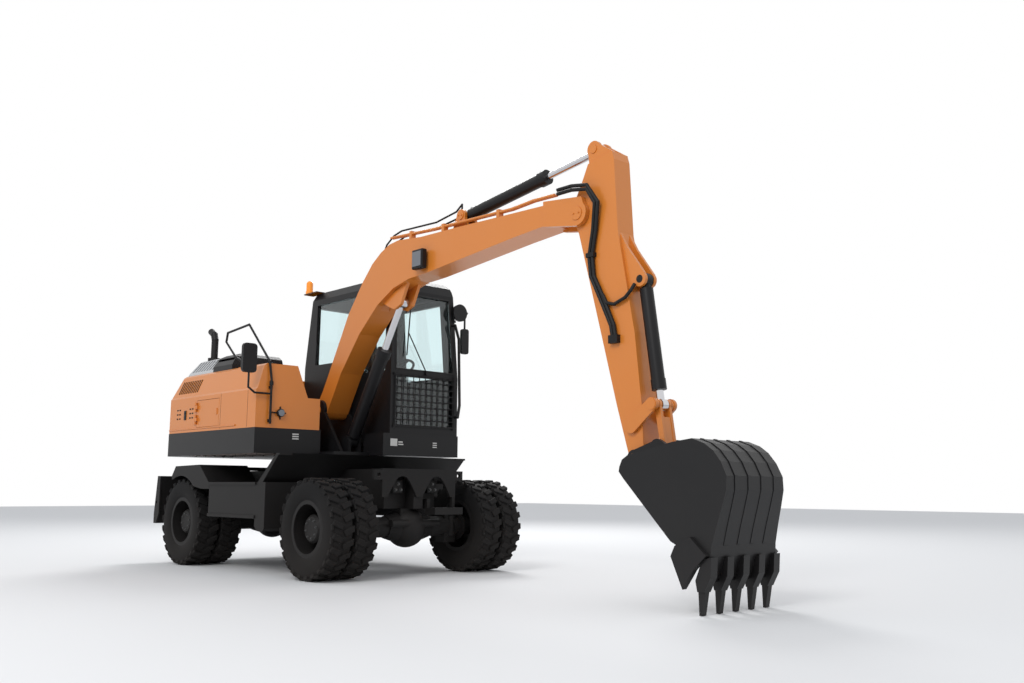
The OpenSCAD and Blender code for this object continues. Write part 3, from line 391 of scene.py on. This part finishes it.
CHROME = plain("Hard chrome", (0.62, 0.62, 0.64), 0.10, metallic=1.0)
BOLT = plain("Dull bolts", (0.07, 0.07, 0.07), 0.45, metallic=0.6)
MIRROR = plain("Mirror face", (0.75, 0.76, 0.78), 0.03, metallic=1.0)
GLASS = plain("Tinted glass", (0.84, 0.94, 0.95), 0.02, transmission=1.0)
LENS = plain("Lamp glass", (0.16, 0.17, 0.19), 0.08, metallic=0.5)
AMBER = plain("Amber lens", (0.95, 0.30, 0.02), 0.22, emission=0.12)
PLATE = plain("Blank plate", (0.52, 0.52, 0.50), 0.45)
print("finishes:", len(bpy.data.materials))

# %% [markdown]
# ## The solids that stay
# Most of the CAD's solids already have the right shape, so each one only changes its
# finish. A short table goes from finish to node names.

# %% Finishes on the CAD's own solids
FINISHES = {
    ORANGE: ["boom", "boom_pipes", "arm", "hood", "tank_housing", "side_door", "guide_links",
             "bucket_link"],
    BLACK: ["deck", "counterweight", "exhaust", "engine_lid", "handrails", "cab_shell", "window_guard",
            "cab_mirrors", "cab_door", "boom_barrel", "arm_barrel", "bucket_barrel"],
    UNDER_BLACK: ["chassis", "slew_bearing", "front_axle", "rear_axle", "driveline", "fenders",
                  "side_boxes", "blade_arms", "blade_links", "blade", "blade_barrels",
                  "knuckle_left", "knuckle_right"],
    BUCKET_BLACK: ["bucket"],
    SILVER: ["roof_grille"],
    CHROME: ["boom_rod", "arm_rod", "bucket_rod", "blade_rods"],
    GLASS: ["cab_glass", "door_glass"],
    HOSE: ["hoses", "boom_hoses"],
    CAST: ["engine"],
    TRIM: ["cab_interior"],
    AMBER: ["beacon"],
}
for finish, names in FINISHES.items():
    for name in names:
        for material_slot in nodes[name].material_slots:
            material_slot.material = finish
for name in nodes:
    if name.startswith("rims_"):
        nodes[name].material_slots[0].material = UNDER_BLACK
print("finished solids:", sum(len(names) for names in FINISHES.values()))

# %% [markdown]
# ## A tyre with its tread
# A tyre is a ring with a bulged side wall and two rows of slanted lugs that meet near
# the middle. The casing is an outline spun round the axle. One lug is shaped from a
# cube, then copied round the ring, the second row half a pitch later, so that the tread
# interlocks as it does on a real traction tyre.

# %% One pair of tyres
AXLE_HEIGHT = 500.0
PAIR_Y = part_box("tyres_rear_left")[1].y / MM - 270.0
FRONT_X = (joint_at["roll_front_left"].x - SWING_X) / MM
REAR_X = (joint_at["roll_rear_left"].x - SWING_X) / MM
TYRE_OFFSET = 142.0
LUGS = 24
CASING = [(262, 94), (276, 108), (310, 119), (350, 126), (392, 127.5), (430, 125),
          (458, 119), (472, 106), (477, 80), (478, 0)]


def casing_ring():
    """The tyre's skin, spun from half an outline and its mirror image."""
    half = CASING + [(r, -w) for r, w in reversed(CASING[:-1])]
    bpy.ops.mesh.primitive_circle_add(vertices=len(half), radius=1)
    ring = bpy.context.object
    for vertex, (radius, width) in zip(ring.data.vertices, half):
        vertex.co = Vector((0, width * MM, radius * MM))
    bpy.ops.object.mode_set(mode="EDIT")
    bpy.ops.mesh.select_all(action="SELECT")
    bpy.ops.mesh.spin(steps=72, angle=math.tau, center=(0, 0, 0), axis=(0, 1, 0))
    bpy.ops.mesh.select_all(action="SELECT")
    bpy.ops.mesh.remove_doubles(threshold=1e-5)
    bpy.ops.mesh.normals_make_consistent(inside=False)
    bpy.ops.object.mode_set(mode="OBJECT")
    return smooth(ring, 40)


def lug(side):
    """One lug: a cube drawn out across the tread, narrowed at its top and slanted."""
    length, width, foot, top = 116.0, 66.0, 468.0, 497.0
    bpy.ops.mesh.primitive_cube_add(size=1)
    piece = bpy.context.object
    piece.scale = (width * MM, length * MM, (top - foot) * MM)
    settle(piece)
    for polygon in piece.data.polygons:
        polygon.select = polygon.normal.z > 0.9
    for edge in piece.data.edges:
        edge.select = False
    for vertex in piece.data.vertices:
        vertex.select = vertex.co.z > 0
    bpy.ops.object.mode_set(mode="EDIT")
    bpy.ops.transform.resize(value=(0.8, 0.97, 1.0), center_override=(0, 0, (top - foot) / 2 * MM))
    bpy.ops.object.mode_set(mode="OBJECT")
    slant = Matrix.Rotation(side * math.radians(24), 4, "Z")
    piece.data.transform(Matrix.Translation((0, side * 62 * MM, (foot + top) / 2 * MM)) @ slant)
    shoulder = block((0, 0, 0), (62, 22, 62), edge=0)
    shoulder.data.transform(Matrix.Translation(-at(31, 11, 31)))
    shoulder.data.transform(Matrix.Translation((side * -22 * MM, side * 113 * MM, 455 * MM))
                            @ Matrix.Rotation(side * math.radians(-14), 4, "X"))
    return bevelled(joined([piece, shoulder]), 5 * MM, 1)


def one_tyre():
    parts = [casing_ring()]
    for side in (1, -1):
        model = lug(side)
        for k in range(LUGS):
            turn = math.tau * (k + (0.5 if side < 0 else 0.0)) / LUGS
            parts.append(twin(model, Matrix.Rotation(turn, 4, "Y")))
        bpy.data.objects.remove(model)
    return joined(parts)


tyre_model = one_tyre()
print("tyre:", len(tyre_model.data.polygons), "faces")

# %% [markdown]
# The pair is copied to all four corners. Each copy turns a little, because wheels never
# stand with their lugs in line, and replaces the plain solids of its own corner.

# %% Tyres at the four corners
CORNERS = {"front_left": (FRONT_X, 1), "front_right": (FRONT_X, -1),
           "rear_left": (REAR_X, 1), "rear_right": (REAR_X, -1)}
for k, (corner, (x, side)) in enumerate(CORNERS.items()):
    pair = []
    for inner in (-1, 1):
        place = Matrix.Translation(at(x, side * PAIR_Y + inner * TYRE_OFFSET, AXLE_HEIGHT))
        turn = Matrix.Rotation(math.radians(4 * k + 3 * inner), 4, "Y")
        pair.append(twin(tyre_model, place @ turn))
    tread = fit(joined(pair), "wheels_" + corner, RUBBER, "tread_" + corner)
    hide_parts("tyres_" + corner)
bpy.data.objects.remove(tyre_model)
print("treads fitted:", len(CORNERS))

# %% [markdown]
# ## Bolts
# A bolt head is a six-sided prism on a round washer. It is modelled once, standing on
# the origin and looking along Z, and every ring or row of bolts copies it.


# %% Bolt rings and rows
def bolt_model(across):
    bpy.ops.mesh.primitive_cylinder_add(vertices=6, radius=across / 2 * MM, depth=across * 0.6 * MM,
                                        location=(0, 0, across * 0.35 * MM))
    head = settle(bpy.context.object)
    bpy.ops.mesh.primitive_cylinder_add(vertices=16, radius=across * 0.68 * MM,
                                        depth=across * 0.16 * MM, location=(0, 0, across * 0.04 * MM))
    return bevelled(joined([head, settle(bpy.context.object)]), across * 0.05 * MM, 1)


def aim(normal):
    return Vector(normal).to_track_quat("Z", "Y").to_matrix().to_4x4()


def bolts(places, normal, across):
    """Bolt heads at places in the machine's millimetres, all looking one way."""
    model = bolt_model(across)
    out = [twin(model, Matrix.Translation(at(*p)) @ aim(normal)) for p in places]
    bpy.data.objects.remove(model)
    return joined(out)


def ring_of(centre, radius, count, plane, start=0.0):
    """Places on a circle. The plane's two letters say which way the circle lies."""
    out = []
    for k in range(count):
        a = math.tau * k / count + start
        offset = {plane[0]: radius * math.cos(a), plane[1]: radius * math.sin(a)}
        out.append(tuple(c + offset.get(letter, 0.0) for c, letter in zip(centre, "xyz")))
    return out


for corner, (x, side) in CORNERS.items():
    disc = (x, side * (PAIR_Y + 12), AXLE_HEIGHT)
    hub = (x, side * (PAIR_Y + 200), AXLE_HEIGHT)
    nuts = joined([bolts(ring_of(disc, 172, 10, "xz"), (0, side, 0), 30),
                   bolts(ring_of(hub, 92, 8, "xz", 0.2), (0, side, 0), 18)])
    fit(nuts, "wheels_" + corner, BOLT, "wheel_nuts_" + corner)
print("wheel nuts fitted")

# %% [markdown]
# ## Engine cover, louvres and belly
# The cover is pressed sheet. What reads from a step away is its gaps, a slanted louvre
# high on the leaning panel, two groups of small vent slots round the latch, and the
# crease along the foot. Gaps and slots are dark inlays about a millimetre proud, because
# a cut that thin would only cost faces. The seams are dark joints; the dark of the slots is
# painted shade, standing where a real opening would hold shade. Seen from below, a pale plate closes
# the deck.

# %% Cover details
SIDE_Y = -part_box("tank_housing")[0].y / MM


def inlay(low, high):
    return block(low, high, edge=0)


SEAM_FOOT, SEAM_TOP = 1548, 1950
seams = [inlay((x - 2, -SIDE_Y - 0.8, SEAM_FOOT), (x + 2, -SIDE_Y + 1, SEAM_TOP))
         for x in (-560, 60)]
fit(joined(seams), "upperstructure", GAP_AND_SLOT_SHADE, "cover_seams")

# Vent slots: dark inlays painted as the shade inside the openings
VENT_LONG, VENT_HIGH, VENT_STEP_X, VENT_STEP_Z, VENT_FOOT = 38, 18, 62, 52, 1700
vent_shade_inlays = []
for group_x in (-1680, -1345):
    for row in range(3):
        for column in range(2):
            x, z = group_x + column * VENT_STEP_X, VENT_FOOT + row * VENT_STEP_Z
            vent_shade_inlays.append(block((x, -SIDE_Y - 1.5, z), (x + VENT_LONG, -SIDE_Y + 1, z + VENT_HIGH), 0.6))
fit(joined(vent_shade_inlays), "upperstructure", GAP_AND_SLOT_SHADE, "vent_slots_painted_shade")

# The leaning panel's lower and upper edge, as Y and Z
LEAN_FOOT, LEAN_TOP = (-1182.0, 1972.0), (-1112.0, 2215.0)


def on_lean(x, share, proud=0.0):
    """A point on the leaning panel, as far up as share says."""
    y = LEAN_FOOT[0] + (LEAN_TOP[0] - LEAN_FOOT[0]) * share
    z = LEAN_FOOT[1] + (LEAN_TOP[1] - LEAN_FOOT[1]) * share
    return (x, y - proud, z)


# Louvre slots: dark bars painted as the shade between the fins
LOUVRE_REAR, LOUVRE_STEP, LOUVRES = -1715, 48, 11
louvre = [bar(on_lean(LOUVRE_REAR + k * LOUVRE_STEP, 0.16, 1),
              on_lean(LOUVRE_REAR + (k + 1) * LOUVRE_STEP, 0.78, 1), 6, 10) for k in range(LOUVRES)]
fit(joined(louvre), "upperstructure", GAP_AND_SLOT_SHADE, "louvre_slots_painted_shade")
LATCH_X, LATCH_FOOT, LATCH_TOP = -1450, 1690, 1800
latch = [block((LATCH_X - 25, -SIDE_Y - 10, LATCH_FOOT), (LATCH_X + 25, -SIDE_Y + 1, LATCH_TOP), 3),
         bar((LATCH_X, -SIDE_Y - 14, LATCH_TOP - 30), (LATCH_X, -SIDE_Y, LATCH_TOP - 30), 9, 16)]
fit(joined(latch), "upperstructure", BLACK, "cover_latch")
CREASE_Z = 1577
crease = tube([(x, -SIDE_Y - 1, CREASE_Z) for x in (-1860, -1000, -200)], 10)
fit(crease, "upperstructure", ORANGE, "cover_crease")

# The roof grille's slots show the dark bay behind them; dark sheets behind the slots are painted shade
# of that bay
HOOD_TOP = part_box("hood")[1].z / MM
GRILLE_REAR, GRILLE_STEP, GRILLE_SLOT = -1627, 72, 38
grille_shade_sheets = [inlay((GRILLE_REAR + k * GRILLE_STEP, -935, HOOD_TOP + 40),
               (GRILLE_REAR + k * GRILLE_STEP + GRILLE_SLOT, -930, HOOD_TOP + 170))
         for k in range(8)]
fit(joined(grille_shade_sheets), "upperstructure", GAP_AND_SLOT_SHADE, "grille_painted_shade")

# Belly plate under the deck, with its bolts
DECK_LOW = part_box("counterweight")[0].z / MM
belly = block((-1400, -1150, DECK_LOW - 3), (200, -600, DECK_LOW + 1), 1)
fit(belly, "upperstructure", BELLY, "belly_plate")
belly_bolts = bolts([(-1300 + k * 240, y, DECK_LOW - 3) for k in range(7) for y in (-1110, -760)],
                    (0, 0, -1), 16)
fit(belly_bolts, "upperstructure", BOLT, "belly_bolts")

# %% [markdown]
# ## Lamp, blank labels, mirrors and stops
# A work lamp on a cross of rods stands ahead of the tank housing's face, and small pale
# labels sit on the black band. The labels are left blank. The mirrors get their faces,
# and the axle's stops show through the arches of the front plate.

# %% Lamp, labels, mirror faces and axle stops
TANK_X = (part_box("tank_housing")[1].x - SWING_X) / MM


LAMP_Y, LAMP_Z, LAMP_RADIUS, LAMP_AHEAD, CROSS_ARM = -905, 1705, 44, 20, 70


def lamp_bar(x_from, x_to, radius):
    return bar((TANK_X + x_from, LAMP_Y, LAMP_Z), (TANK_X + x_to, LAMP_Y, LAMP_Z), radius, 28)


lamp_face = LAMP_AHEAD + 0.4 * LAMP_RADIUS
fit(lamp_bar(LAMP_AHEAD - 0.5 * LAMP_RADIUS, lamp_face, LAMP_RADIUS), "upperstructure",
    BLACK, "tank_lamp_housing")
fit(lamp_bar(lamp_face, lamp_face + 4, 0.82 * LAMP_RADIUS), "upperstructure",
    LENS, "tank_lamp_lens")
star = [bar((TANK_X + 6, LAMP_Y + CROSS_ARM * math.cos(a), LAMP_Z + CROSS_ARM * math.sin(a)),
            (TANK_X + 6, LAMP_Y - CROSS_ARM * math.cos(a), LAMP_Z - CROSS_ARM * math.sin(a)), 8, 10)
        for a in (0.0, math.pi / 2)]
star.append(bar((TANK_X + 32, LAMP_Y - 135, LAMP_Z), (TANK_X + 8, LAMP_Y - 25, LAMP_Z), 8, 10))
fit(joined(star), "upperstructure", BLACK, "tank_lamp_bracket")

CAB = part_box("cab_shell")
BAND_X = (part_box("deck")[1].x - SWING_X) / MM
labels = [block((BAND_X, y, z), (BAND_X + 2, y + wide, z + high), 0.5)
          for y, z, wide, high in ((195, 1372, 95, 82), (305, 1385, 70, 14), (305, 1412, 60, 14),
                                   (800, 1368, 60, 12), (800, 1392, 60, 12), (800, 1416, 60, 12))]
labels += [block((TANK_X, -740, z), (TANK_X + 2, -660, z + 14), 0.5) for z in (1425, 1450, 1475)]
fit(joined(labels), "upperstructure", PLATE, "band_labels")

# Mirror faces look back, towards the operator
mirror_out = -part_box("handrails")[0].y / MM
faces = [block((246, -mirror_out + 10, 2127), (250.5, -mirror_out + 155, 2418), 1),
         block((661, mirror_out - 100, 2542), (665.5, mirror_out - 10, 2828), 1)]
fit(joined(faces), "upperstructure", MIRROR, "mirror_faces")

# Stops of the axle, seen through the front plate's arches
NOSE_X, STOP_AHEAD, STOP_Y, STOP_HALF = FRONT_X + 60, 95, 225, 62
stops = [block((NOSE_X - 6, side * STOP_Y - STOP_HALF, 850),
               (NOSE_X + STOP_AHEAD, side * STOP_Y + STOP_HALF, 985), 8) for side in (1, -1)]
fit(joined(stops), "undercarriage", UNDER_BLACK, "axle_stops")
stop_bolts = [(NOSE_X + STOP_AHEAD, side * STOP_Y + y, z) for side in (1, -1)
              for y, z in ((-34, 885), (34, 885), (0, 945))]
fit(bolts(stop_bolts, (1, 0, 0), 30), "undercarriage", BOLT, "axle_stop_bolts")

# %% [markdown]
# ## The cab
# Dark rubber seals frame the two windows of the front, a wiper lies on the windscreen,
# and the door has its handle. Inside, a padded seat and levers on the consoles show
# through the glass.

# %% Cab fittings
CAB_FRONT = (CAB[1].x - SWING_X) / MM


def frame_of(corners, x, radius=9):
    """A seal: a rubber bar round a window in the cab's front."""
    ends = corners[1:] + corners[:1]
    return [bar((x, *a), (x, *b), radius, 10) for a, b in zip(corners, ends)]


screen = [(262, 2257), (1113, 2257), (1029, 3138), (262, 3138)]
lower = [(262, 1612), (1113, 1612), (1113, 2178), (262, 2178)]
fit(joined(frame_of(screen, CAB_FRONT) + frame_of(lower, CAB_FRONT)), "upperstructure",
    SEAL, "screen_seals")
wiper = [bar((CAB_FRONT + 14, 700, 2225), (CAB_FRONT + 18, 420, 2680), 7, 10),
         bar((CAB_FRONT + 10, 405, 2420), (CAB_FRONT + 10, 445, 2960), 8, 8),
         bar((CAB_FRONT - 10, 700, 2225), (CAB_FRONT + 26, 700, 2225), 20, 16)]
fit(joined(wiper), "upperstructure", BLACK, "wiper")

HANDLE_Y, HANDLE_Z = 1190, 2080
handle = [bar((-250, HANDLE_Y, HANDLE_Z), (-130, HANDLE_Y, HANDLE_Z), 12, 12),
          block((-262, HANDLE_Y - 12, HANDLE_Z - 30), (-118, HANDLE_Y - 2, HANDLE_Z + 30), 4)]
fit(joined(handle), "cab_door", BLACK, "door_handle")

# The beacon stands amber on a black mount
beacon_low, beacon_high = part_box("beacon")
mount = block(((beacon_low.x - SWING_X) / MM - 1, beacon_low.y / MM - 1, beacon_low.z / MM),
              ((beacon_high.x - SWING_X) / MM + 1, beacon_high.y / MM + 1, beacon_low.z / MM + 13))
fit(mount, "upperstructure", BLACK, "beacon_mount")

floor_z = CAB[0].z / MM + 55
levers = []
for y in (355, 985):
    levers += [tube([(-60, y, floor_z + 560), (-50, y, floor_z + 680), (-70, y, floor_z + 730)], 12),
               bar((-70, y, floor_z + 720), (-85, y, floor_z + 810), 24, 16)]
fit(joined(levers), "upperstructure", TRIM, "joysticks")
cushions = [block((-650, 465, floor_z + 464), (-140, 865, floor_z + 500), 14),
            plate([(-534, floor_z + 520), (-505, floor_z + 530), (-586, floor_z + 1130),
                   (-614, floor_z + 1140)], 480, 850, 8)]
fit(joined(cushions), "upperstructure", FABRIC, "seat_cushions")

# %% [markdown]
# ## Boom and arm hardware
# The large pins have round caps held by bolts, and a work lamp hangs on the boom's side.

# %% Pin caps and the boom's lamp
# Each cap: its body, the pin as X and Z, how far out it sits, and its radius
PIN_CAPS = [("boom", (3985, 3345), 157, 62), ("arm", (4610, 1150), 156, 44),
            ("boom", (2286, 3680), 85, 46)]
CAP_THICK = 9
for k, (body, (x, z), y, radius) in enumerate(PIN_CAPS):
    caps = []
    for side in (1, -1):
        face = side * (y + CAP_THICK)
        caps += [bar((x, side * y, z), (x, face, z), radius, 28),
                 bolts([(x + 0.5 * radius, face, z), (x - 0.5 * radius, face, z)], (0, side, 0), 16)]
    fit(joined(caps), body, ORANGE, "pin_caps_%d" % k)

fit(block((1672, -240, 3180), (1850, -172, 3390), 12), "boom", BLACK, "boom_lamp_housing")
fit(block((1690, -246, 3205), (1832, -238, 3365), 2), "boom", LENS, "boom_lamp_lens")

# %% [markdown]
# ## Bucket wear straps
# Four straps run round the bucket's back to carry the wear. They follow the shell's own
# outline, given here as X and Z.

# %% Wear straps
SHELL = [(5362, 1284), (5470, 1245), (5546, 1191), (5614, 1108), (5664, 1004), (5663, 901),
         (5632, 787), (5588, 637), (5552, 498)]
STRAP_HALF = 18
straps = []
for y in (-255, -85, 85, 255):
    outer = [(x + 5, z + 5) for x, z in SHELL]
    inner = [(x - 4, z - 4) for x, z in reversed(SHELL)]
    straps.append(plate(outer + inner, y - STRAP_HALF, y + STRAP_HALF))
fit(joined(straps), "bucket", BUCKET_BLACK, "wear_straps")

# %% [markdown]
# ## The stage
# A plain pale floor, a white surround seen by the camera only, and soft lamps. The
# camera stands where the photographer stood: low, ahead and to the machine's right.

# %% Floor, light and camera
bpy.ops.mesh.primitive_plane_add(size=80, location=(0, 0, 0))
ground = bpy.context.object
ground.name = "ground"
pale = bpy.data.materials.new("Pale floor")
pale.use_nodes = True
tree = pale.node_tree
shader = tree.nodes["Principled BSDF"]
shader.inputs["Base Color"].default_value = (0.72, 0.72, 0.72, 1)
shader.inputs["Roughness"].default_value = 0.9
ground.data.materials.append(pale)

world = bpy.data.worlds.new("Surround")
bpy.context.scene.world = world
world.use_nodes = True
tree = world.node_tree
sky = tree.nodes["Background"]
sky.inputs["Color"].default_value = (0.92, 0.95, 1.0, 1)
sky.inputs["Strength"].default_value = 0.75
white = tree.nodes.new("ShaderNodeBackground")
white.inputs["Color"].default_value = (1, 1, 1, 1)
white.inputs["Strength"].default_value = 1.0
path = tree.nodes.new("ShaderNodeLightPath")
seen = tree.nodes.new("ShaderNodeMath")
seen.operation = "MAXIMUM"
through = tree.nodes.new("ShaderNodeMath")
through.operation = "MAXIMUM"
tree.links.new(path.outputs["Is Camera Ray"], seen.inputs[0])
tree.links.new(path.outputs["Is Glossy Ray"], seen.inputs[1])
tree.links.new(seen.outputs["Value"], through.inputs[0])
tree.links.new(path.outputs["Is Transmission Ray"], through.inputs[1])
choose = tree.nodes.new("ShaderNodeMixShader")
tree.links.new(through.outputs["Value"], choose.inputs["Fac"])
tree.links.new(sky.outputs["Background"], choose.inputs[1])
tree.links.new(white.outputs["Background"], choose.inputs[2])
tree.links.new(choose.outputs["Shader"], tree.nodes["World Output"].inputs["Surface"])


def soft_lamp(name, place, target, size, power):
    light = bpy.data.lights.new(name, "AREA")
    light.shape = "DISK"
    light.size = size
    light.energy = power
    lamp_object = bpy.data.objects.new(name, light)
    bpy.context.collection.objects.link(lamp_object)
    lamp_object.location = place
    lamp_object.rotation_euler = (Vector(target) - Vector(place)).to_track_quat("-Z", "Y").to_euler()


soft_lamp("key", (6, -13, 12), (0, 0, 1.5), 7, 1200)
soft_lamp("rim", (-9, 8, 11), (0, 0, 1.5), 6, 1100)

LENS_MM, SENSOR_MM = 34.94, 36.0
CAMERA_AT = Vector((9.9054 + SWING_X, -6.4626, 0.8957))
YAW, PITCH, ROLL = 2.3907, 0.1477, 0.0064
look = Vector((math.cos(PITCH) * math.cos(YAW), math.cos(PITCH) * math.sin(YAW), math.sin(PITCH)))
right = Vector((math.sin(YAW), -math.cos(YAW), 0))
above = right.cross(look)
right, above = (right * math.cos(ROLL) + above * math.sin(ROLL),
                above * math.cos(ROLL) - right * math.sin(ROLL))
camera = bpy.data.cameras.new("photographer")
camera.lens = LENS_MM
camera.sensor_width = SENSOR_MM
camera.clip_end = 200
eye = bpy.data.objects.new("photographer", camera)
bpy.context.collection.objects.link(eye)
eye.matrix_world = Matrix((right, above, -look)).transposed().to_4x4()
eye.location = CAMERA_AT
bpy.context.scene.camera = eye
bpy.context.scene.view_settings.view_transform = "Standard"
print("camera at", [round(v, 2) for v in CAMERA_AT])
